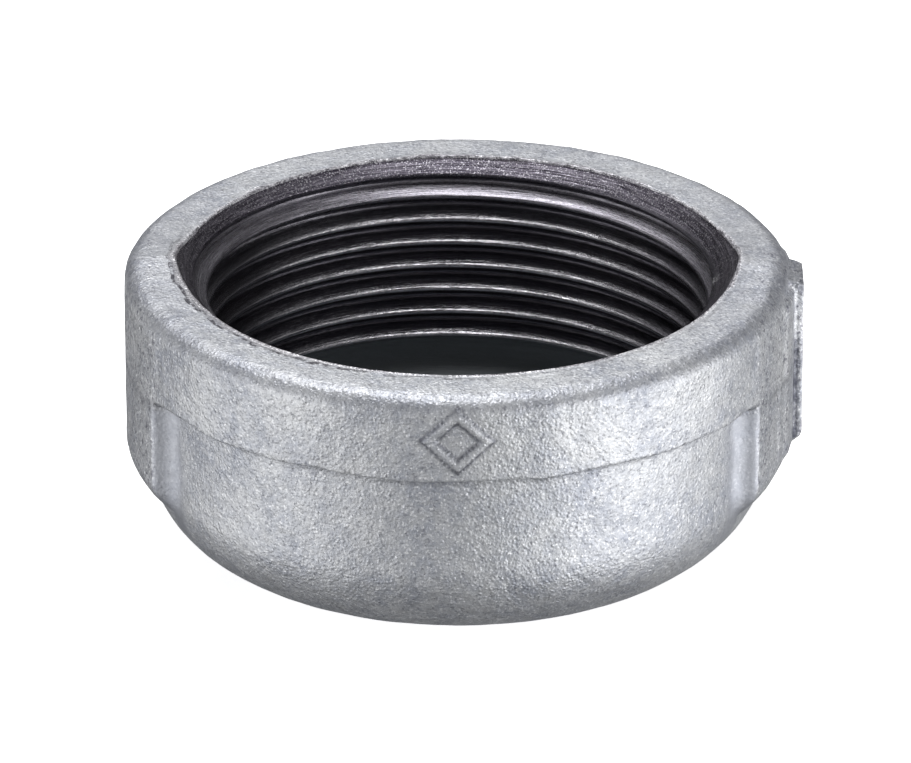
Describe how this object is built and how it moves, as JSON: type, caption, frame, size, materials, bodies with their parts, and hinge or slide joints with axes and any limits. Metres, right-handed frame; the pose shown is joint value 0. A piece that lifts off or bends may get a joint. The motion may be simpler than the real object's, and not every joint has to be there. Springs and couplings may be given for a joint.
{
  "type": "pipe cap",
  "caption": "Round screwed cap that closes the end of a threaded pipe, with a thicker band at the mouth, side grip pads and an internal pipe thread.",
  "frame": {"origin": "centre of the flat face of the closed end, on the thread axis", "axes": "+Z along the thread axis out of the open mouth, +X towards the gate stub, -Y towards the front of the casting"},
  "size_m": [0.0609, 0.0599, 0.0268],
  "materials": {
    "galvanised_iron": "hot-dip galvanised, matt light grey with fine speckle; the tapped bore is bare dark iron"
  },
  "bodies": {
    "root": {"cap_body": "galvanised_iron"}
  },
  "joints": []
}
